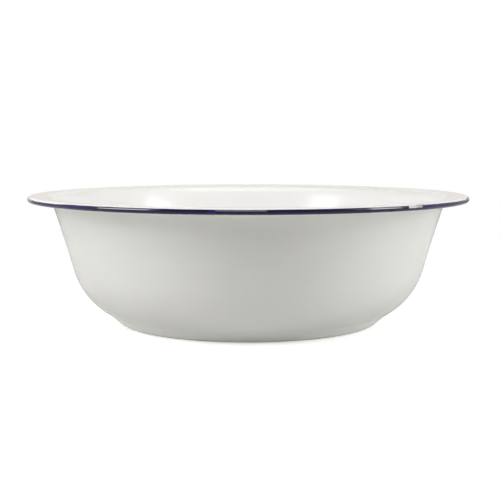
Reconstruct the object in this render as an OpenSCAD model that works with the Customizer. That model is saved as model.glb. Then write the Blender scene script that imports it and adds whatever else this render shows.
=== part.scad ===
// Enamelled steel basin bowl: a deep bowl with a narrow flange, a curled bead and a low stepped foot.
// It stands on its resting ring at z = 0, and its axis is Z.
// Every layer of it follows one outline, which is the lower and outer face of the bare steel sheet.
// The outline is walked from the axis, out over the base, up the wall and round the curl of the rim.

/* [Bowl] */
// Widest diameter, over the coloured bead of the rim
rim_d = 400; // [330:1:460]
// Height from the table to the top of the bead
rim_h = 118; // [100:1:150]

/* [Base and foot] */
// Slope of the crowned base where it meets the step, in degrees
crown_slope = 1.2; // [0.4:0.1:2.5]
// Lift of the base's edge off the table, inside the resting ring
base_lift = 2; // [1:0.1:3]
// Radius of the two bends in the step from the base down to the resting ring
step_r = 4; // [3:0.1:6]
// Width of the flat ring that the bowl stands on
rest_w = 10; // [6:0.5:16]
// Radius of the turn from the resting ring up into the side of the foot
foot_corner_r = 14; // [10:0.5:18]
// Slope of the side of the foot, in degrees from the table
foot_slope = 40; // [36:0.5:46]
// Straight width of the side of the foot
foot_side = 11; // [7:0.5:15]

/* [Belly and wall] */
// Radius of the crease between the foot and the belly
crease_r = 12; // [8:0.5:16]
// Slope at which the belly leaves the crease, in degrees
belly_slope = 31; // [26:0.5:35]
// Radius of the belly
belly_r = 68; // [50:1:85]
// Slope of the wall where it leaves the belly, in degrees
wall_slope = 75.5; // [74:0.5:82]
// Slope of the wall at the mouth, which is a little more open, in degrees
mouth_slope = 71.5; // [66:0.5:73]

/* [Flange and bead] */
// Radius of the bend from the wall out into the flange
flange_bend_r = 10.5; // [7:0.5:16]
// Straight width of the flange, from the bend to the curl
flange_w = 10.7; // [7:0.1:20]
// Rise of the flange towards the bead, in degrees
flange_slope = 3; // [0:0.5:6]
// Outside diameter of the curl in the bare steel
curl_d = 4.5; // [3.6:0.1:5.5]
// Slit between the lip of the curl and the underside of the flange, both enamelled
lip_gap = 0.2; // [0.1:0.05:0.3]

/* [Sheet and enamel] */
// Thickness of the steel sheet
steel_t = 0.7; // [0.5:0.05:0.9]
// Thickness of the dark ground coat, on each side
ground_t = 0.15; // [0.1:0.05:0.2]
// Thickness of the white coat, on each side
white_t = 0.2; // [0.15:0.05:0.3]

/* [Coloured rim band] */
// Thickness of the blue enamel on the bead
band_t = 0.12; // [0.1:0.01:0.2]
// Drop of the band's upper edge below the top of the bead
band_drop = 0.9; // [0.4:0.1:1.6]
// How far the band runs in under the bead, past its lowest line
band_tuck = 0.6; // [0:0.1:1.2]

/* [Hidden] */

// A bend is drawn in chords, none of which lies further than this off the true arc
chord_dev = 0.02;
// Facets round the axis, for meshes
$fn = 180;

// Offsets from the outline, outwards and down if negative
steel_inner = steel_t;
ground_outer = -ground_t;
ground_inner = steel_inner + ground_t;
white_outer = ground_outer - white_t;
white_inner = ground_inner + white_t;

// The bead: its middle follows from the rim's size, and its steel curls round a hollow
bead_r = curl_d / 2 + ground_t + white_t;
bead_c = [rim_d / 2 - band_t - bead_r, rim_h - bead_r];
curl_hollow_r = curl_d / 2 - steel_t;
flange_end = bead_c + curl_hollow_r * left_of(flange_slope);
// The lip turns on past three quarters of a circle, until its coat is one slit below the flange's
lip_rise = asin((curl_hollow_r + white_outer - lip_gap) / bead_r);
curl_turn = 270 + lip_rise;
// Turn of the bead at which the blue band starts and ends
band_start = acos(1 - band_drop / bead_r);
band_end = 180 + asin(band_tuck / bead_r);

// Rise of each stretch between the resting ring and the curl; the wall takes what is left
foot_corner_rise = foot_corner_r * (1 - cos(foot_slope));
foot_side_rise = foot_side * sin(foot_slope);
crease_rise = crease_r * (cos(belly_slope) - cos(foot_slope));
belly_rise = belly_r * (cos(belly_slope) - cos(wall_slope));
flange_bend_rise = flange_bend_r * (cos(flange_slope) - cos(mouth_slope));
flange_rise = flange_w * sin(flange_slope);
foot_rise = foot_corner_rise + foot_side_rise + crease_rise;
rim_rise = flange_bend_rise + flange_rise;
wall_rise = flange_end.y + white_outer - foot_rise - belly_rise - rim_rise;
wall_r = wall_rise / (cos(mouth_slope) - cos(wall_slope));

// Reach of the same stretches away from the axis, which sets the size of the foot
foot_corner_reach = foot_corner_r * sin(foot_slope);
foot_side_reach = foot_side * cos(foot_slope);
crease_reach = crease_r * (sin(foot_slope) - sin(belly_slope));
belly_reach = belly_r * (sin(wall_slope) - sin(belly_slope));
wall_reach = wall_r * (sin(wall_slope) - sin(mouth_slope));
flange_bend_reach = flange_bend_r * (sin(mouth_slope) - sin(flange_slope));
flange_reach = flange_w * cos(flange_slope);
foot_reach = foot_corner_reach + foot_side_reach + crease_reach;
rim_reach = flange_bend_reach + flange_reach;
rest_outer_r = flange_end.x - foot_reach - belly_reach - wall_reach - rim_reach;

// The step drops the base's edge to the resting ring, and the crown lifts the middle a little more
step_slope = acos((cos(crown_slope) + 1 - base_lift / step_r) / 2);
step_reach = step_r * (2 * sin(step_slope) - sin(crown_slope));
base_r = rest_outer_r - rest_w - step_reach;
crown_r = base_r / sin(crown_slope);
crown_rise = crown_r * (1 - cos(crown_slope));

// A station is a place on the outline: its radius from the axis, its height and its slope there
axis_station = [0, base_lift + crown_rise - white_outer, 0];

// Stretches of the outline, each as the slope at its end and its radius, or [slope, 0, length] if straight
sheet_stretches = [
    [-crown_slope, crown_r],
    [-step_slope, step_r],
    [0, step_r],
    [0, 0, rest_w],
    [foot_slope, foot_corner_r],
    [foot_slope, 0, foot_side],
    [belly_slope, crease_r],
    [wall_slope, belly_r],
    [mouth_slope, wall_r],
    [flange_slope, flange_bend_r],
    [flange_slope, 0, flange_w],
];
sheet_line = concat([axis_station], walk(axis_station, sheet_stretches));

// The curl runs over the top of the bead, through the blue band's stretch and on to the lip
curl_before_band = walk(last(sheet_line), [[-band_start, curl_hollow_r]]);
curl_in_band = walk(last(curl_before_band), [[-band_end, curl_hollow_r]]);
curl_after_band = walk(last(curl_in_band), [[flange_slope - curl_turn, curl_hollow_r]]);
band_line = concat([last(curl_before_band)], curl_in_band);
whole_line = concat(sheet_line, curl_before_band, curl_in_band, curl_after_band);

function last(list) = list[len(list) - 1];

// Unit vector to the left of a heading, which is inwards and up along the outline
function left_of(slope) = [-sin(slope), cos(slope)];

// Chords that a bend needs; the widest layer round it has the longest chords
function chords(r, turn) = ceil(abs(turn) / (2 * acos(1 - chord_dev / (r + white_inner))));

// Stations along one straight stretch or one bend, without the one that it starts from
function straight(from, length) =
    [[from[0] + length * cos(from[2]), from[1] + length * sin(from[2]), from[2]]];

function bend(from, slope, r) =
    let (turn = slope - from[2])
    let (count = chords(r, turn))
    [
        for (i = [1 : count])
            let (here = from[2] + turn * i / count)
            let (shift = sign(turn) * r * (left_of(from[2]) - left_of(here)))
            [from[0] + shift.x, from[1] + shift.y, here]
    ];

// Stations along a list of stretches, each of which starts where the one before it ends
function walk(from, stretches, i = 0) =
    i == len(stretches)
        ? []
        : let (s = stretches[i])
          let (here = s[1] == 0 ? straight(from, s[2]) : bend(from, s[0], s[1]))
          concat(here, walk(last(here), stretches, i + 1));

// The outline moved sideways by a distance
function beside(line, distance) =
    [for (s = line) [s[0], s[1]] + distance * left_of(s[2])];

function reversed(points) = [for (i = [len(points) - 1 : -1 : 0]) points[i]];

// A layer of the bowl: everything between two distances from a line of the outline
module layer(line, outer, inner) {
    rotate_extrude()
        polygon(concat(beside(line, outer), reversed(beside(line, inner))));
}

// The drawn steel bowl, with its flange and its curled edge
module steel_pressing() {
    color([0.45, 0.46, 0.48])
        layer(whole_line, 0, steel_inner);
}

// Dark first coat on the upper face, round the curl and as far as its lip
module ground_coat_inside() {
    color([0.13, 0.13, 0.17])
        layer(whole_line, steel_inner, ground_inner);
}

// Dark first coat on the lower face, as far as the hollow of the curl
module ground_coat_outside() {
    color([0.13, 0.13, 0.17])
        layer(sheet_line, ground_outer, 0);
}

// White coat over the ground coat inside the bowl, on the flange and round the bead
module white_coat_inside() {
    color([0.95, 0.95, 0.93])
        layer(whole_line, ground_inner, white_inner);
}

// White coat on the outside, under the flange and under the foot
module white_coat_outside() {
    color([0.87, 0.87, 0.84])
        layer(sheet_line, white_outer, ground_outer);
}

// Blue enamel laid over the white on the outer face of the bead
module blue_rim_band() {
    color([0.12, 0.10, 0.29])
        layer(band_line, white_inner, white_inner + band_t);
}

steel_pressing();
ground_coat_inside();
ground_coat_outside();
white_coat_inside();
white_coat_outside();
blue_rim_band();
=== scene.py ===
import math

import bpy
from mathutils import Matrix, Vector, noise


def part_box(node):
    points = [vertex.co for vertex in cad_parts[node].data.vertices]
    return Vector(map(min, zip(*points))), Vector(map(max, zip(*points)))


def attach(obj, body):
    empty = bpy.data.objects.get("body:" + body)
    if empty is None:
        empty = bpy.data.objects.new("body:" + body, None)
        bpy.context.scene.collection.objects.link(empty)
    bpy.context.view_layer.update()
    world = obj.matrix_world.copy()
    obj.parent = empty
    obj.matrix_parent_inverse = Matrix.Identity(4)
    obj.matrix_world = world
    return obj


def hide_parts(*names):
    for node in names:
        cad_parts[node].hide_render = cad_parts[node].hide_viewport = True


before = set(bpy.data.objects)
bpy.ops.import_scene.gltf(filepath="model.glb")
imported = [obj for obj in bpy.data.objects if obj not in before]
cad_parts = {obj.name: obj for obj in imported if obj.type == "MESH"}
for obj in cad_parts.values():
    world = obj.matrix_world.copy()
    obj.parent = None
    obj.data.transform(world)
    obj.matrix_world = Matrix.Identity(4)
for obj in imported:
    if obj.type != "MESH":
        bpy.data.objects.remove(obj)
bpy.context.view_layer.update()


# Steel pressing: one sheet of cold drawn steel, pressed to the bowl's shape and curled over at its
# edge into a hollow bead. It was pickled before enamelling, so it is a dull grey, with a faint grain
# that runs up the wall where the punch drew it. Enamel covers all of it.
def place(tree, kind, inputs=None, **settings):
    """Adds a shader node. Each input is a number, a colour or another node's output."""
    node = tree.nodes.new("ShaderNode" + kind)
    for name, value in settings.items():
        setattr(node, name, value)
    for socket, value in (inputs or {}).items():
        if isinstance(value, bpy.types.NodeSocket):
            tree.links.new(value, node.inputs[socket])
        else:
            node.inputs[socket].default_value = value
    return node


def calculate(tree, operation, a, b):
    return place(tree, "Math", {0: a, 1: b}, operation=operation).outputs[0]


def multiply(tree, a, b):
    return calculate(tree, "MULTIPLY", a, b)


def add(tree, a, b):
    return calculate(tree, "ADD", a, b)


def spread(tree, value, low, high, to_low=0.0, to_high=1.0):
    """Maps value from low..high to to_low..to_high, smoothly and without passing either end."""
    inputs = {"Value": value, "From Min": low, "From Max": high, "To Min": to_low, "To Max": to_high}
    return place(tree, "MapRange", inputs, interpolation_type="SMOOTHSTEP").outputs["Result"]


def mixed(tree, mask, colour, other):
    """Colour where the mask is 0 and the other where it is 1."""
    inputs = {0: mask, 6: colour, 7: other}
    return place(tree, "Mix", inputs, data_type="RGBA").outputs[2]


def surface_point(tree):
    return place(tree, "TexCoord").outputs["Object"]


def clouds(tree, per_metre, detail, point=None):
    """Noise from 0 to 1 over the surface, or at a point that another node gives."""
    where = surface_point(tree) if point is None else point
    inputs = {"Vector": where, "Scale": per_metre, "Detail": detail}
    return place(tree, "TexNoise", inputs).outputs["Fac"]


def new_material(name, **constants):
    """A material with its node tree and its Principled shader, whose constant sockets are set here."""
    material = bpy.data.materials.new(name)
    material.use_nodes = True
    shader = material.node_tree.nodes["Principled BSDF"]
    for socket, value in constants.items():
        shader.inputs[socket.replace("_", " ")].default_value = value
    return material, material.node_tree, shader


def raise_surface(tree, shader, height):
    """Bumps a material's surface by a height in metres."""
    bump = place(tree, "Bump", {"Height": height, "Distance": 1.0})
    tree.links.new(bump.outputs[0], shader.inputs["Normal"])


def dress(node, material):
    """Gives a CAD node its material."""
    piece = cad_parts[node]
    piece.data.materials.clear()
    piece.data.materials.append(material)


steel_grey = (0.40, 0.41, 0.43, 1)
# The grain is long up the wall and fine across it
grain_per_metre = (900, 900, 60)
grain_levels = (0.3, 0.7)
grain_roughness = (0.38, 0.55)
grain_depth = 4e-6
# Patches of mill scale that the pickling left. Levels are those of a noise where its mask is 0 and 1
scale_grey = (0.22, 0.22, 0.24, 1)
scale_per_metre = 35
scale_levels = (0.52, 0.70)

drawn_steel, tree, shader = new_material("drawn_steel", Metallic=1.0)
lengthened = place(tree, "Mapping", {"Vector": surface_point(tree), "Scale": grain_per_metre})
grain = clouds(tree, 1, detail=3, point=lengthened.outputs[0])
scale = spread(tree, clouds(tree, scale_per_metre, detail=6), *scale_levels)
tree.links.new(mixed(tree, scale, steel_grey, scale_grey), shader.inputs["Base Color"])
tree.links.new(spread(tree, grain, *grain_levels, *grain_roughness), shader.inputs["Roughness"])
raise_surface(tree, shader, multiply(tree, grain, grain_depth))
dress("steel_pressing", drawn_steel)


# Ground coats: dark blue-black glass with cobalt and nickel oxide, which grips the steel. The sheet
# was dipped and fired, so one coat lies inside and over the curl, and one outside. The white coats
# cover both, and they show only in the slit at the lip of the curl.
def new_group(name, values, results):
    """A node group with named value sockets. Returns its tree, its inputs and its results."""
    group = bpy.data.node_groups.new(name, "ShaderNodeTree")
    for socket, start in values.items():
        given = group.interface.new_socket(socket, in_out="INPUT", socket_type="NodeSocketFloat")
        given.default_value = start
    for socket in results:
        group.interface.new_socket(socket, in_out="OUTPUT", socket_type="NodeSocketFloat")
    return group, group.nodes.new("NodeGroupInput").outputs, group.nodes.new("NodeGroupOutput").inputs


def use(tree, group, **values):
    """Places a node group in a material with its own values."""
    node = tree.nodes.new("ShaderNodeGroup")
    node.node_tree = group
    for socket, value in values.items():
        node.inputs[socket.replace("_", " ")].default_value = value
    return node.outputs


def per_metre_of(tree, size):
    """Turns a size in metres into the scale of a texture."""
    return calculate(tree, "DIVIDE", 1.0, size)


# Fired glass is never quite level: fine orange peel lies on long, shallow waves. Sizes are in metres
peel_values = {"Peel Size": 0.003, "Peel Depth": 6e-6, "Wave Size": 0.02, "Wave Depth": 2e-5}
orange_peel, given, result = new_group("orange_peel", peel_values, ["Height"])
heights = []
for size, depth in (("Peel Size", "Peel Depth"), ("Wave Size", "Wave Depth")):
    relief = clouds(orange_peel, per_metre_of(orange_peel, given[size]), detail=1)
    heights.append(multiply(orange_peel, relief, given[depth]))
orange_peel.links.new(add(orange_peel, *heights), result["Height"])

# Gas from the steel leaves a few pinholes, and stray grains melt in as specks
specks, given, result = new_group("specks", {"Spacing": 0.01, "Radius": 0.0003, "Share": 0.3}, ["Mask"])
cells_per_metre = per_metre_of(specks, given["Spacing"])
cells = place(specks, "TexVoronoi", {"Vector": surface_point(specks), "Scale": cells_per_metre}).outputs
reach = multiply(specks, given["Radius"], cells_per_metre)
inside_speck = calculate(specks, "LESS_THAN", cells["Distance"], reach)
drawn_lot = place(specks, "SeparateColor", {"Color": cells["Color"]}).outputs[0]
chosen = calculate(specks, "LESS_THAN", drawn_lot, given["Share"])
specks.links.new(multiply(specks, inside_speck, chosen), result["Mask"])

ground_black = (0.012, 0.013, 0.022, 1)
ground_blue = (0.020, 0.024, 0.050, 1)
ground_clouds_per_metre = 60
ground_clouds_levels = (0.40, 0.65)

dark_ground, tree, shader = new_material("dark_ground_enamel", Roughness=0.22)
bluer = spread(tree, clouds(tree, ground_clouds_per_metre, detail=4), *ground_clouds_levels)
colour = mixed(tree, bluer, ground_black, ground_blue)
burst_bubbles = use(tree, specks, Spacing=0.004, Radius=0.0003, Share=0.4)["Mask"]
tree.links.new(mixed(tree, burst_bubbles, colour, steel_grey), shader.inputs["Base Color"])
relief = use(tree, orange_peel, Peel_Size=0.002, Peel_Depth=1e-5, Wave_Size=0.012, Wave_Depth=2e-5)
raise_surface(tree, shader, relief["Height"])
dress("ground_coat_inside", dark_ground)
dress("ground_coat_outside", dark_ground)


# Outside white coat: opaque white glass, sprayed thinly over the dark ground coat and fired. Its white is
# greyer than the inside coat's: partly its own tone, and partly painted shade for the shaded outside of
# the bowl. It is thinnest on outward bends, where the ground greys it, and it gathers in the crease over
# the foot.
# The sheet's outline is walked here, because every coat lies at its own distance from it.

# The imported rim is a mesh, which reaches a little less far along one axis than along the other
rim_r = min(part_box("blue_rim_band")[1].xy)
rim_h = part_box("white_coat_inside")[1].z

steel_t = 0.0007
ground_t = 0.00015
white_t = 0.0002
band_t = 0.00012

crown_slope = math.radians(1.2)
base_lift = 0.002
step_r = 0.004
rest_w = 0.010
foot_corner_r = 0.014
foot_slope = math.radians(40)
foot_side = 0.011
crease_r = 0.012
belly_slope = math.radians(31)
belly_r = 0.068
wall_slope = math.radians(75.5)
mouth_slope = math.radians(71.5)
flange_bend_r = 0.0105
flange_w = 0.0107
flange_slope = math.radians(3)
curl_d = 0.0045
lip_gap = 0.0002

# Heights over the outline, which is the lower and outer face of the bare steel
white_outer = -ground_t - white_t
white_inner = steel_t + ground_t + white_t
bead_r = curl_d / 2 + ground_t + white_t
curl_r = curl_d / 2 - steel_t

# The longest step between stations on the outline, and the widest turn from one to the next
max_step = 0.0028
max_turn = math.radians(7)
# Steps round the axis
round_steps = 300


def left_of(slope):
    """Unit vector to the left of a heading, as (radius, height): inwards and up along the outline."""
    return Vector((-math.sin(slope), math.cos(slope)))


def straight(line, length):
    """Carries a line of (point, slope) on along its heading."""
    start, slope = line[-1]
    count = math.ceil(length / max_step)
    heading = Vector((math.cos(slope), math.sin(slope)))
    line.extend((start + heading * length * i / count, slope) for i in range(1, count + 1))


def bend(line, slope, radius):
    """Carries a line on round a bend, until it has that slope."""
    start, first = line[-1]
    turn = slope - first
    count = math.ceil(max(abs(turn) / max_turn, abs(turn) * radius / max_step))
    centre = start + math.copysign(radius, turn) * left_of(first)
    for i in range(1, count + 1):
        here = first + turn * i / count
        line.append((centre - math.copysign(radius, turn) * left_of(here), here))


def rise_of(radius, first, last):
    """Height gained round a bend. Its radius is negative where it turns downwards."""
    return radius * (math.cos(first) - math.cos(last))


def reach_of(radius, first, last):
    """Distance from the axis gained round a bend, with the same sign of the radius."""
    return radius * (math.sin(last) - math.sin(first))


# Two facts follow from the rest: the wall's radius from the height that the other stretches leave to
# it, and the resting ring's outer radius from how far they all reach outwards
bead_centre = Vector((rim_r - band_t - bead_r, rim_h - bead_r))
flange_end = bead_centre + curl_r * left_of(flange_slope)
foot_rise = rise_of(foot_corner_r, 0, foot_slope) + foot_side * math.sin(foot_slope)
foot_rise += rise_of(-crease_r, foot_slope, belly_slope)
belly_rise = rise_of(belly_r, belly_slope, wall_slope)
rim_rise = rise_of(-flange_bend_r, mouth_slope, flange_slope) + flange_w * math.sin(flange_slope)
wall_rise = flange_end.y + white_outer - foot_rise - belly_rise - rim_rise
wall_r = wall_rise / (math.cos(mouth_slope) - math.cos(wall_slope))

foot_reach = reach_of(foot_corner_r, 0, foot_slope) + foot_side * math.cos(foot_slope)
foot_reach += reach_of(-crease_r, foot_slope, belly_slope)
belly_reach = reach_of(belly_r, belly_slope, wall_slope)
wall_reach = reach_of(-wall_r, wall_slope, mouth_slope)
rim_reach = reach_of(-flange_bend_r, mouth_slope, flange_slope) + flange_w * math.cos(flange_slope)
rest_outer_r = flange_end.x - foot_reach - belly_reach - wall_reach - rim_reach

step_slope = math.acos((math.cos(crown_slope) + 1 - base_lift / step_r) / 2)
base_r = rest_outer_r - rest_w - step_r * (2 * math.sin(step_slope) - math.sin(crown_slope))
crown_r = base_r / math.sin(crown_slope)

sheet_line = [(Vector((0, base_lift + rise_of(crown_r, 0, crown_slope) - white_outer)), 0.0)]
bend(sheet_line, -crown_slope, crown_r)
bend(sheet_line, -step_slope, step_r)
bend(sheet_line, 0.0, step_r)
straight(sheet_line, rest_w)
bend(sheet_line, foot_slope, foot_corner_r)
straight(sheet_line, foot_side)
bend(sheet_line, belly_slope, crease_r)
bend(sheet_line, wall_slope, belly_r)
bend(sheet_line, mouth_slope, wall_r)
bend(sheet_line, flange_slope, flange_bend_r)
straight(sheet_line, flange_w)

# Glass draws off outward bends and settles in inward ones, over about this length of the outline
settling = 0.005
# A bend of this radius leaves the coat as thin as it gets
thinnest_bend_r = 0.004


def bareness(line, side):
    """How thin the coat is at each station, from -1 in tight creases to 1 on tight outward bends."""
    runs = [0.0]
    for (a, _), (b, _) in zip(line, line[1:]):
        runs.append(runs[-1] + (b - a).length)
    values = []
    for run in runs:
        near = [i for i, other in enumerate(runs) if abs(other - run) <= settling]
        first, last = near[0], near[-1]
        length = max(runs[last] - runs[first], settling)
        bent = side * (line[last][1] - line[first][1]) / length
        values.append(max(-1.0, min(1.0, bent * thinnest_bend_r)))
    return values


def round_nose(line, low, high, count=5):
    """Points round the end of a coat, from its high side to its low side."""
    end, slope = line[-1]
    heading = Vector((math.cos(slope), math.sin(slope)))
    middle = end + left_of(slope) * (low + high) / 2
    nose = (high - low) / 2
    angles = [math.pi * i / (count + 1) for i in range(1, count + 1)]
    return [middle + nose * (left_of(slope) * math.cos(a) + heading * math.sin(a)) for a in angles]


def skin(name, rings, masks, material, poles=()):
    """A closed mesh through rings of points. Two poles end it, or else its last ring meets its first."""
    steps = len(rings[0])
    points = [point for ring in rings for point in ring] + list(poles)
    faces = []
    pairs = list(zip(range(len(rings)), range(1, len(rings))))
    if not poles:
        pairs.append((len(rings) - 1, 0))
    for here, there in pairs:
        for j in range(steps):
            k = (j + 1) % steps
            faces.append((here * steps + j, there * steps + j, there * steps + k, here * steps + k))
    if poles:
        first_pole, last_pole = len(points) - 2, len(points) - 1
        last_ring = (len(rings) - 1) * steps
        for j in range(steps):
            k = (j + 1) % steps
            faces.append((first_pole, j, k))
            faces.append((last_pole, last_ring + k, last_ring + j))
    mesh = bpy.data.meshes.new(name)
    mesh.from_pydata(points, [], faces)
    mesh.shade_smooth()
    for mask, mask_rings in masks.items():
        values = [value for ring in mask_rings for value in ring] + [0.0] * len(poles)
        mesh.attributes.new(mask, "FLOAT", "POINT").data.foreach_set("value", values)
    mesh.materials.append(material)
    piece = bpy.data.objects.new(name, mesh)
    bpy.context.scene.collection.objects.link(piece)
    return piece


def around(point, azimuth):
    """The place in space of a (radius, height) point."""
    return Vector((point.x * math.cos(azimuth), point.x * math.sin(azimuth), point.y))


# The glass is a little thinner in places, never thicker, so that it stays within its coat
unevenness = 0.00001
unevenness_size = 0.035


def white_coat(name, line, low, high, shown_side, material):
    """A coat between two heights over the line. It shows its high side if shown_side is 1, low if -1."""
    azimuths = [2 * math.pi * j / round_steps for j in range(round_steps)]
    bare = bareness(line, shown_side)

    def ring(point, slope, height, shown):
        points = []
        for azimuth in azimuths:
            thinner = 0.0
            if shown:
                where = around(point, azimuth) / unevenness_size
                thinner = unevenness * (0.5 + 0.5 * noise.noise(where))
            side = point + left_of(slope) * (height - shown_side * thinner)
            points.append(around(side, azimuth))
        return points

    rings = [ring(point, slope, high, shown_side > 0) for point, slope in line[1:]]
    values = [[value] * round_steps for value in bare[1:]]
    for point in round_nose(line, low, high):
        rings.append([around(point, azimuth) for azimuth in azimuths])
        values.append([1.0] * round_steps)
    rings += [ring(point, slope, low, shown_side < 0) for point, slope in reversed(line[1:])]
    values += [[value] * round_steps for value in reversed(bare[1:])]
    axis = line[0][0]
    poles = (Vector((0, 0, axis.y + high)), Vector((0, 0, axis.y + low)))
    return skin(name, rings, {"bareness": values}, material, poles)


# What stands on a table is rubbed up to a small height, in patches
patch_levels = (0.35, 0.6)

rubbed, given, result = new_group("rubbed", {"Height": 0.001, "Patch Size": 0.01}, ["Mask"])
over_table = place(rubbed, "SeparateXYZ", {"Vector": surface_point(rubbed)}).outputs["Z"]
share = calculate(rubbed, "DIVIDE", over_table, given["Height"])
touch = spread(rubbed, share, 0.0, 1.0, 1.0, 0.0)
patches = clouds(rubbed, per_metre_of(rubbed, given["Patch Size"]), detail=8)
patchy = spread(rubbed, patches, *patch_levels)
rubbed.links.new(multiply(rubbed, touch, patchy), result["Mask"])

# Handling leaves a haze of fine scratches that run every way, and smears that dull the gloss
scratch_stretch = 50
scratch_tip = 0.3
scratch_turns = (0.4, 1.5, 2.5)
scratch_levels = (0.66, 0.72)
smear_levels = (0.4, 0.7)

handling_values = {"Scratch Size": 0.0006, "Smear Size": 0.05}
handling, given, result = new_group("handling", handling_values, ["Scratches", "Smears"])
sets = []
for turn in scratch_turns:
    lay = {"Rotation": (scratch_tip, turn, turn), "Scale": (1, scratch_stretch, 1)}
    lay["Vector"] = surface_point(handling)
    turned = place(handling, "Mapping", lay, vector_type="TEXTURE").outputs[0]
    lines = clouds(handling, per_metre_of(handling, given["Scratch Size"]), detail=1, point=turned)
    sets.append(spread(handling, lines, *scratch_levels))
scratches = add(handling, add(handling, sets[0], sets[1]), sets[2])
handling.links.new(spread(handling, scratches, 0.0, 1.0), result["Scratches"])
smears = clouds(handling, per_metre_of(handling, given["Smear Size"]), detail=5)
handling.links.new(spread(handling, smears, *smear_levels), result["Smears"])

# Clouds in the glass thin it by up to this share
cloud_per_metre = 22
cloud_levels = (0.35, 0.70)
cloud_share = 0.35


def carried(tree, mask):
    """A mask that the mesh carries."""
    return place(tree, "Attribute", attribute_name=mask).outputs["Fac"]


def thinness(tree):
    """The mask of a coat's thin places, from its mesh's bareness and from clouds in the glass."""
    cloudy = spread(tree, clouds(tree, cloud_per_metre, detail=3), *cloud_levels, 0.0, cloud_share)
    return place(tree, "Clamp", {"Value": add(tree, carried(tree, "bareness"), cloudy)}).outputs[0]


# Partly painted shade: the outside white and its thin white are greyer than the inside's, to stand for
# the shade on the outside wall
outside_white_and_shade = (0.690, 0.685, 0.652, 1)
outside_thin_and_shade = (0.660, 0.665, 0.640, 1)
speck_brown = (0.12, 0.10, 0.08, 1)
rubbed_grey = (0.46, 0.45, 0.42, 1)
rubbed_share = 0.7
# Roughness of the clean glass, and what scratches, smears and rubbing add to it
outside_clean = 0.09
outside_scratched = 0.05
outside_smeared = 0.05
outside_rubbed = 0.30

outside_glass, tree, shader = new_material("white_enamel_outside", IOR=1.52)
colour = mixed(tree, thinness(tree), outside_white_and_shade, outside_thin_and_shade)
spots = use(tree, specks, Spacing=0.022, Radius=0.00028, Share=0.30)["Mask"]
colour = mixed(tree, spots, colour, speck_brown)
foot_rubbed = use(tree, rubbed, Height=0.0006, Patch_Size=0.006)["Mask"]
colour = mixed(tree, multiply(tree, foot_rubbed, rubbed_share), colour, rubbed_grey)
tree.links.new(colour, shader.inputs["Base Color"])
marks = use(tree, handling, Scratch_Size=0.0005, Smear_Size=0.06)
dulled = add(tree, outside_clean, multiply(tree, marks["Scratches"], outside_scratched))
dulled = add(tree, dulled, multiply(tree, marks["Smears"], outside_smeared))
dulled = add(tree, dulled, multiply(tree, foot_rubbed, outside_rubbed))
tree.links.new(dulled, shader.inputs["Roughness"])
relief = use(tree, orange_peel, Peel_Size=0.0035, Peel_Depth=6e-6, Wave_Size=0.022, Wave_Depth=2e-5)
raise_surface(tree, shader, relief["Height"])

white_enamel_outside = white_coat(
    "white_enamel_outside", sheet_line, white_outer, -ground_t, -1, outside_glass
)
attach(white_enamel_outside, "root")
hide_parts("white_coat_outside")


# Inside white coat: the better side, with a thicker glass that is whiter than the outside coat, whose
# greyer white is partly painted shade. It covers the inside, the flange and the whole curl as far as its
# lip. Spoons and sand have left fine scratches on the base.
lip_rise = math.asin((curl_r + white_outer - lip_gap) / bead_r)
curl_turn = math.radians(270) + lip_rise

curled_line = list(sheet_line)
bend(curled_line, flange_slope - curl_turn, curl_r)

inside_white = (0.877, 0.874, 0.866, 1)
inside_thin = (0.860, 0.845, 0.805, 1)
# The glass is creamier on the flange, from one radius to the other
flange_cream = (0.870, 0.845, 0.792, 1)
flange_from = 0.1715
flange_to = 0.1830
# Scratches show on the base, and fade up to this height over the table
scratch_grey = (0.60, 0.60, 0.58, 1)
scratched_height = 0.030
scratched_share = 0.35
# Roughness of the clean glass, and what scratches and smears add to it
inside_clean = 0.13
inside_scratched = 0.15
inside_smeared = 0.04

# A knock from outside has bruised the glass on the bead, all over its core and fading from there
knock_azimuth = math.radians(-90 + 42.2)
knock = around(Vector((rim_r, rim_h - bead_r)), knock_azimuth)
knock_along = (-math.sin(knock_azimuth), math.cos(knock_azimuth), 0)
knock_reach = 0.0105
knock_core = 0.8 * knock_reach
# The bruise fades between these drops from the top of the bead
knock_full_drop = 0.0009
knock_least_drop = 0.0003
# It is mottled, and greyer towards one end
bruise_pale = (0.62, 0.60, 0.64, 1)
bruise_grey = (0.36, 0.37, 0.34, 1)
bruise_per_metre = 600
bruise_levels = (0.38, 0.62)
greyer_length = 0.006
greyer_share = 0.20

inside_glass, tree, shader = new_material("white_enamel_inside", IOR=1.52)
colour = mixed(tree, thinness(tree), inside_white, inside_thin)
flattened = place(tree, "VectorMath", {0: surface_point(tree), 1: (1, 1, 0)}, operation="MULTIPLY")
from_axis = place(tree, "VectorMath", {0: flattened.outputs[0]}, operation="LENGTH").outputs["Value"]
colour = mixed(tree, spread(tree, from_axis, flange_from, flange_to), colour, flange_cream)
from_knock = place(tree, "VectorMath", {0: surface_point(tree), 1: knock}, operation="DISTANCE")
knocked = spread(tree, from_knock.outputs["Value"], knock_core, knock_reach, 1.0, 0.0)
height = place(tree, "SeparateXYZ", {"Vector": surface_point(tree)}).outputs["Z"]
below_top = spread(tree, height, rim_h - knock_full_drop, rim_h - knock_least_drop, 1.0, 0.0)
knocked = multiply(tree, knocked, below_top)
along = place(tree, "VectorMath", {0: surface_point(tree), 1: knock_along}, operation="DOT_PRODUCT")
along = along.outputs["Value"]
greyer = spread(tree, along, -greyer_length, greyer_length, -greyer_share, greyer_share)
mottled = add(tree, clouds(tree, bruise_per_metre, detail=3), greyer)
bruise = mixed(tree, spread(tree, mottled, *bruise_levels), bruise_pale, bruise_grey)
colour = mixed(tree, knocked, colour, bruise)
spots = use(tree, specks, Spacing=0.030, Radius=0.00025, Share=0.25)["Mask"]
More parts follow.
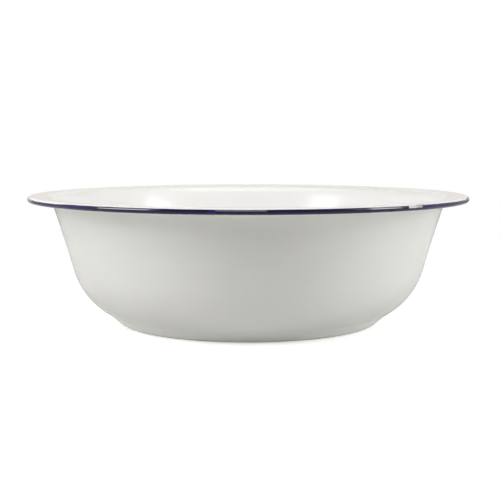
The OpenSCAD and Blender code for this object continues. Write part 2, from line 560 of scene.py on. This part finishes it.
colour = mixed(tree, spots, colour, speck_brown)
scrubbed = use(tree, rubbed, Height=scratched_height, Patch_Size=0.04)["Mask"]
marks = use(tree, handling, Scratch_Size=0.0005, Smear_Size=0.07)
scratched = multiply(tree, marks["Scratches"], scrubbed)
colour = mixed(tree, multiply(tree, scratched, scratched_share), colour, scratch_grey)
tree.links.new(colour, shader.inputs["Base Color"])
dulled = add(tree, inside_clean, multiply(tree, scratched, inside_scratched))
dulled = add(tree, dulled, multiply(tree, marks["Smears"], inside_smeared))
tree.links.new(dulled, shader.inputs["Roughness"])
relief = use(tree, orange_peel, Peel_Size=0.004, Peel_Depth=2e-6, Wave_Size=0.03, Wave_Depth=4e-6)
raise_surface(tree, shader, relief["Height"])

white_enamel_inside = white_coat(
    "white_enamel_inside", curled_line, steel_t + ground_t, white_inner, 1, inside_glass
)
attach(white_enamel_inside, "root")
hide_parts("white_coat_inside")


# Blue rim: dark cobalt glass, laid on the bead by hand over the white, and fired last. Its edges
# wander and thin out, so that the white shines through them. A knock has flaked a short piece of its
# upper half away down to the white.
band_drop = 0.0009
band_tuck = 0.0006
band_start = math.acos(1 - band_drop / bead_r)
band_end = math.pi + math.asin(band_tuck / bead_r)
# The skin starts this turn of the bead above the band's upper edge, for strokes that run higher
stroke_room = 0.55
# How far the edges wander, and over what length, with a finer wander on the upper one
edge_wander = 0.00015
edge_wander_size = 0.045
fine_wander_share = 0.3
fine_wander_size = 0.011
# The glass nears its full depth over this width, and outside its edge the skin falls at this slope
edge_fall = 0.0002
edge_slope = 0.3
# The skin's lowest depth, which lies within the white coat
band_sink = 0.00005
# The flaked place, as azimuths from +X, how far down the bead it reaches, and how sharp its edges are
flake_from = math.radians(-90 + 39.6)
flake_to = math.radians(-90 + 44.2)
flake_depth = 0.0024
flake_fall = 0.00012
flake_end_fall = 0.00036
# Its lower edge is ragged by this much over this length, and by another noise as the bead turns
lower_rag = 0.0004
lower_rag_size = 0.0016
lower_rag_rate = 1.5
# Its ends are ragged by this much. Their noise has a rate for each radian round the rim and the bead
end_rag = 0.0011
end_rag_rates = (40, 3)
end_rag_slice = 5
# Past the place where it set down, the brush ran nearly dry, and the band is thin along its edges
dry_from = math.radians(-90 - 7.4)
dry_to = math.radians(-90 + 4.5)
dry_fade = math.radians(1.5)
dry_width = 0.0017
dry_share = 0.50
# Where the brush ran higher or lower, along the band's upper and lower edge: middle, half length, rise
upper_strokes = (
    (math.radians(-1), math.radians(17), 0.0012),
    (math.radians(-178), math.radians(15), 0.0007),
    (math.radians(-148), math.radians(9), -0.0005),
)
lower_strokes = (
    (math.radians(-148), math.radians(16), 0.0015),
    (math.radians(-101), math.radians(5), 0.0003),
    (math.radians(-73), math.radians(5), -0.0004),
)
# Where the glass is thin over its whole width, and where it is bluer, wholly so where the brush set down
# and it lies double: middle, half length, share. At the band's left end the thin place is partly painted
# shade: its pale grey stands for the shade on the end of the bead.
thin_and_shade_strokes = ((math.radians(-176), math.radians(19), 0.65),)
blue_strokes = (
    (math.radians(-90 - 7.85), math.radians(0.85), 1.0),
    (math.radians(-90 - 49), math.radians(10), 0.65),
    (math.radians(-90 + 49), math.radians(5), 0.65),
)
# Steps across the band, and step lengths round the rim, which are shorter at the flaked place
across = 28
coarse_step = 0.0014
fine_step = 0.00028
fine_margin = math.radians(0.6)


def within(value, first, last, soft):
    """1 between first and last, 0 outside, with soft slopes of that width."""
    up = max(0.0, min(1.0, (value - first) / soft + 0.5))
    down = max(0.0, min(1.0, (last - value) / soft + 0.5))
    return up * up * (3 - 2 * up) * down * down * (3 - 2 * down)


def strokes_at(azimuth, strokes):
    """Sum of the strokes at an azimuth. Each is given by its middle, its half length and its amount."""
    total = 0.0
    for middle, half, amount in strokes:
        off = (azimuth - middle + math.pi) % (2 * math.pi) - math.pi
        total += amount * within(off, -half, half, half / 2)
    return total


def glass_at(turn, azimuth):
    """The blue glass at a turn round the bead: its depth, below 0 outside the band, and from 0 to 1 how
    far it is flaked away and how thinly it was brushed on, which at the band's left end is also painted
    shade."""
    on_rim = Vector((math.cos(azimuth), math.sin(azimuth), 0)) * rim_r
    upper_wander = noise.noise(on_rim / edge_wander_size)
    upper_wander += fine_wander_share * noise.noise(on_rim / fine_wander_size)
    lower_wander = noise.noise((on_rim + Vector((0, 0, 1))) / edge_wander_size)
    down = (turn - band_start) * bead_r
    from_top = down + strokes_at(azimuth, upper_strokes) - edge_wander * (1 + upper_wander)
    from_below = (band_end - turn) * bead_r - strokes_at(azimuth, lower_strokes)
    from_below -= edge_wander * (1 + lower_wander)
    near = min(from_top, from_below)
    depth = band_t * (1 - math.exp(-near / edge_fall)) if near > 0 else near * edge_slope

    ragged = lower_rag * noise.noise(on_rim / lower_rag_size + Vector((0, 0, turn * lower_rag_rate)))
    rag_place = Vector((azimuth * end_rag_rates[0], turn * end_rag_rates[1], end_rag_slice))
    run = azimuth * rim_r + end_rag * noise.noise(rag_place)
    flaked = within(run, flake_from * rim_r, flake_to * rim_r, flake_end_fall)
    flaked *= max(0.0, min(1.0, (flake_depth + ragged - down) / flake_fall + 0.5))

    dry = dry_share * within(azimuth, dry_from, dry_to, dry_fade)
    dry *= within(near, -dry_width, dry_width, dry_width / 2)
    return depth, flaked, max(dry, strokes_at(azimuth, thin_and_shade_strokes))


def rim_azimuths():
    """Azimuths round the rim, close together at the flaked place."""
    values = []
    azimuth = -math.pi
    while azimuth < math.pi - coarse_step / rim_r / 2:
        values.append(azimuth)
        fine = flake_from - fine_margin < azimuth < flake_to + fine_margin
        azimuth += (fine_step if fine else coarse_step) / rim_r
    return values


azimuths = rim_azimuths()
first_turn = band_start - stroke_room
turns = [first_turn + (band_end - first_turn) * i / across for i in range(across + 1)]
outer_rings = []
bare = []
doubled = []
for turn in turns:
    outward = left_of(-turn)
    ring = []
    washed = []
    for azimuth in azimuths:
        # The thin share is partly painted shade at the band's left end
        depth, flaked, thin_and_shade = glass_at(turn, azimuth)
        depth = max(-band_sink, min(band_t, depth))
        washed.append(max(thin_and_shade, 1 - max(0.0, depth) / band_t))
        depth = depth * (1 - flaked) - band_sink * flaked
        ring.append(around(bead_centre + outward * (bead_r + depth), azimuth))
    outer_rings.append(ring)
    bare.append(washed)
    doubled.append([strokes_at(azimuth, blue_strokes) for azimuth in azimuths])
inner_rings = []
for turn in reversed(turns):
    point = bead_centre + left_of(-turn) * (bead_r - 2 * band_sink)
    inner_rings.append([around(point, azimuth) for azimuth in azimuths])

cobalt = (0.007, 0.004, 0.034, 1)
cobalt_light = (0.012, 0.008, 0.060, 1)
cobalt_doubled = (0.018, 0.010, 0.095, 1)
washed_blue = (0.58, 0.55, 0.68, 1)
# The brush leaves streaks, long round the rim and fine across it
streaks_per_metre = (60, 60, 900)
streak_levels = (0.45, 0.70)
# Barenesses between which the blue washes out
washed_levels = (0.25, 1.0)

blue_glass, tree, shader = new_material("blue_enamel", Roughness=0.06, IOR=1.52)
lengthened = place(tree, "Mapping", {"Vector": surface_point(tree), "Scale": streaks_per_metre})
streaks = clouds(tree, 1, detail=4, point=lengthened.outputs[0])
colour = mixed(tree, spread(tree, streaks, *streak_levels), cobalt, cobalt_light)
colour = mixed(tree, carried(tree, "doubled"), colour, cobalt_doubled)
# The blue washes out to pale where its glass is thin. At the band's left end that pale grey is partly
# painted shade
colour = mixed(tree, spread(tree, carried(tree, "bareness"), *washed_levels), colour, washed_blue)
tree.links.new(colour, shader.inputs["Base Color"])
relief = use(tree, orange_peel, Peel_Size=0.0025, Peel_Depth=3e-6, Wave_Size=0.012, Wave_Depth=1e-5)
raise_surface(tree, shader, relief["Height"])

hidden = [[0.0] * len(azimuths)] * len(inner_rings)
masks = {"bareness": bare + hidden, "doubled": doubled + hidden}
blue_rim = skin("blue_rim", outer_rings + inner_rings, masks, blue_glass)
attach(blue_rim, "root")
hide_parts("blue_rim_band")


# Floor: a plain pale sheet that takes the bowl's shadow. It glows a little, most in a narrow ring
# round the foot, and reflections show it dimmer in front of the bowl. Away from the bowl it fades to
# the white of the background for the camera and for reflections.
def either(tree, mask, value, other):
    """Value where the mask is 0 and the other where it is 1."""
    return place(tree, "Mix", {0: mask, 2: value, 3: other}, data_type="FLOAT").outputs[0]


def in_reflections(tree, rays):
    """1 for rays that a glossy or clear surface sends on, by the outputs of a Light Path node."""
    return calculate(tree, "MAXIMUM", rays["Is Glossy Ray"], rays["Is Transmission Ray"])


floor_r = 4.0
floor_sides = 96
floor_pale = (0.82, 0.82, 0.81, 1)
white = (1, 1, 1, 1)
black = (0, 0, 0, 1)
# The floor's own glow, as the camera sees it and as it lights the bowl
seen_glow = 0.50
cast_glow = 0.075
# The ring round the foot glows more on the bowl: it rises to one radius and falls from it to another
ring_glow = 0.10
ring_from = 0.112
ring_at = 0.122
ring_to = 0.134
# Share of its light that the near floor loses in reflections: one in front of the bowl, up to this
# place along Y, and another from under the bowl on
front_loss = 0.5
under_loss = 0.12
front_y = -0.38
under_y = -0.02
# Radii between which the floor fades, and how bright the faded floor is in reflections
fade_from = 0.45
fade_to = 1.10
faded_in_gloss = 0.25

floor_mesh = bpy.data.meshes.new("floor")
corners = [2 * math.pi * i / floor_sides for i in range(floor_sides)]
edge = [around(Vector((floor_r, 0)), corner) for corner in corners]
floor_mesh.from_pydata(edge, [], [tuple(range(floor_sides))])
floor = bpy.data.objects.new("floor", floor_mesh)
bpy.context.scene.collection.objects.link(floor)

pale_floor, tree, shader = new_material(
    "pale_floor", Base_Color=floor_pale, Roughness=0.9, Specular_IOR_Level=0.0
)
rays = place(tree, "LightPath").outputs
mirrored = in_reflections(tree, rays)
away = place(tree, "VectorMath", {0: surface_point(tree)}, operation="LENGTH").outputs["Value"]
ring = multiply(
    tree, spread(tree, away, ring_from, ring_at), spread(tree, away, ring_at, ring_to, ring_glow, 0.0)
)
glow = either(tree, rays["Is Camera Ray"], add(tree, ring, cast_glow), seen_glow)
glowing = place(tree, "Emission", {"Color": white, "Strength": glow})
lit = place(tree, "AddShader", {0: shader.outputs[0], 1: glowing.outputs[0]})
unlit = place(tree, "Emission", {"Color": black, "Strength": 0.0})
along_y = place(tree, "SeparateXYZ", {"Vector": surface_point(tree)}).outputs["Y"]
loss = multiply(tree, mirrored, spread(tree, along_y, front_y, under_y, front_loss, under_loss))
near = place(tree, "MixShader", {0: loss, 1: lit.outputs[0], 2: unlit.outputs[0]})
faded = place(tree, "Emission", {"Color": white, "Strength": either(tree, mirrored, 1.0, faded_in_gloss)})
seen = calculate(tree, "MAXIMUM", rays["Is Camera Ray"], mirrored)
far = multiply(tree, spread(tree, away, fade_from, fade_to), seen)
whole = place(tree, "MixShader", {0: far, 1: near.outputs[0], 2: faded.outputs[0]})
tree.links.new(whole.outputs[0], tree.nodes["Material Output"].inputs["Surface"])
floor_mesh.materials.append(pale_floor)


# Light: a white tent with an open front, soft boxes and scrims that show only in the gloss, and lamps
# all round that light the enamel. The tent is white to the camera, dimmer in reflections and much
# dimmer as a light, and reflections show the dim room through its front.
tent_light = 0.06
tent_in_gloss = 0.85
# In reflections the front is open up to this place along Y, and the tent is whole from the other
open_front = 0.06
open_to = -0.85
whole_from = -0.45
# Its upper part is dimmer in reflections, from about this place along Z
upper_in_gloss = 0.45
upper_from = 0.41
upper_full = 0.51
# Low down behind the bowl, reflections show a warm horizon: from here along Y, and up to here along Z
horizon_cream = (0.86, 0.80, 0.76, 1)
behind_from = 0.3
behind_full = 0.7
horizon_full = 0.07
horizon_to = 0.15

world = bpy.data.worlds.new("white_tent")
world.use_nodes = True
bpy.context.scene.world = world
tree = world.node_tree
rays = place(tree, "LightPath").outputs
mirrored = in_reflections(tree, rays)
direction = place(tree, "TexCoord").outputs["Generated"]
along = place(tree, "SeparateXYZ", {"Vector": direction}).outputs
lower = spread(tree, along["Y"], open_to, whole_from, open_front, tent_in_gloss)
in_gloss = either(tree, spread(tree, along["Z"], upper_from, upper_full), lower, upper_in_gloss)
strength = either(tree, mirrored, tent_light, in_gloss)
strength = either(tree, rays["Is Camera Ray"], strength, 1.0)
behind = spread(tree, along["Y"], behind_from, behind_full)
low_down = spread(tree, along["Z"], horizon_full, horizon_to, 1.0, 0.0)
warm = multiply(tree, multiply(tree, behind, low_down), mirrored)
background = tree.nodes["Background"]
tree.links.new(mixed(tree, warm, white, horizon_cream), background.inputs["Color"])
tree.links.new(strength, background.inputs["Strength"])

# What each lamp shows in, its azimuth and elevation in degrees, distance, width, height and radiance
lamps = {
    "soft_box_right": ("gloss", 68, 9, 1.6, 0.52, 0.46, 10),
    "soft_box_left": ("gloss", -61, 11, 1.6, 0.80, 0.50, 10),
    "soft_box_right_top": ("gloss", 69.5, 24, 1.6, 0.42, 0.45, 5.2),
    "soft_box_left_top": ("gloss", -57.5, 27, 1.6, 0.50, 0.50, 3.5),
    "scrim_right": ("gloss", 61, 14, 1.7, 0.62, 1.00, 1.1),
    "scrim_left": ("gloss", -58.5, 16, 1.7, 0.93, 1.05, 0.8),
    "key_right": ("diffuse", 64.5, 33.5, 1.6, 0.48, 0.77, 7.0),
    "key_left": ("diffuse", -54.5, 33.5, 1.6, 0.54, 0.77, 10.2),
    "side_right": ("diffuse", 90, 10, 1.6, 0.6, 0.5, 11.2),
    "side_left": ("diffuse", -90, 10, 1.6, 0.6, 0.5, 6.2),
    "overhead": ("both", 0, 90, 1.6, 1.2, 1.2, 1.6),
    "front_high": ("diffuse", 0, 62, 1.6, 1.0, 0.7, 0.9),
    "back": ("diffuse", 180, 30, 1.6, 1.2, 0.8, 1.0),
}
bowl_middle = Vector((0, 0, rim_h / 2))


def hang_lamp(name, shows_in, azimuth, elevation, distance, width, height, radiance):
    """An area lamp that faces the bowl. Its azimuth is from the camera's side, towards +X."""
    lamp = bpy.data.lights.new(name, "AREA")
    lamp.shape = "RECTANGLE"
    lamp.size = width
    lamp.size_y = height
    lamp.energy = radiance * math.pi * width * height
    hung = bpy.data.objects.new(name, lamp)
    tilt = math.radians(elevation)
    away = around(Vector((math.cos(tilt), math.sin(tilt))), math.radians(azimuth - 90))
    hung.location = bowl_middle + distance * away
    hung.rotation_euler = away.to_track_quat("Z", "Y").to_euler()
    hung.visible_camera = False
    hung.visible_glossy = shows_in != "diffuse"
    hung.visible_diffuse = shows_in != "gloss"
    bpy.context.scene.collection.objects.link(hung)


for name, facts in lamps.items():
    hang_lamp(name, *facts)


# Camera: a long lens, a little over a metre in front of the bowl and somewhat higher than its rim.
# It looks slightly down, so that the inside shows over the near side of the rim.
camera_place = (0.00148, -1.07664, 0.17560)
looks_down = math.radians(5.8)
lens = 84.246
sensor = 36

camera_data = bpy.data.cameras.new("camera")
camera_data.lens = lens
camera_data.sensor_width = sensor
camera = bpy.data.objects.new("camera", camera_data)
camera.location = camera_place
camera.rotation_euler = (math.radians(90) - looks_down, 0, 0)
bpy.context.scene.collection.objects.link(camera)
bpy.context.scene.camera = camera

bpy.context.scene.view_settings.view_transform = "Standard"
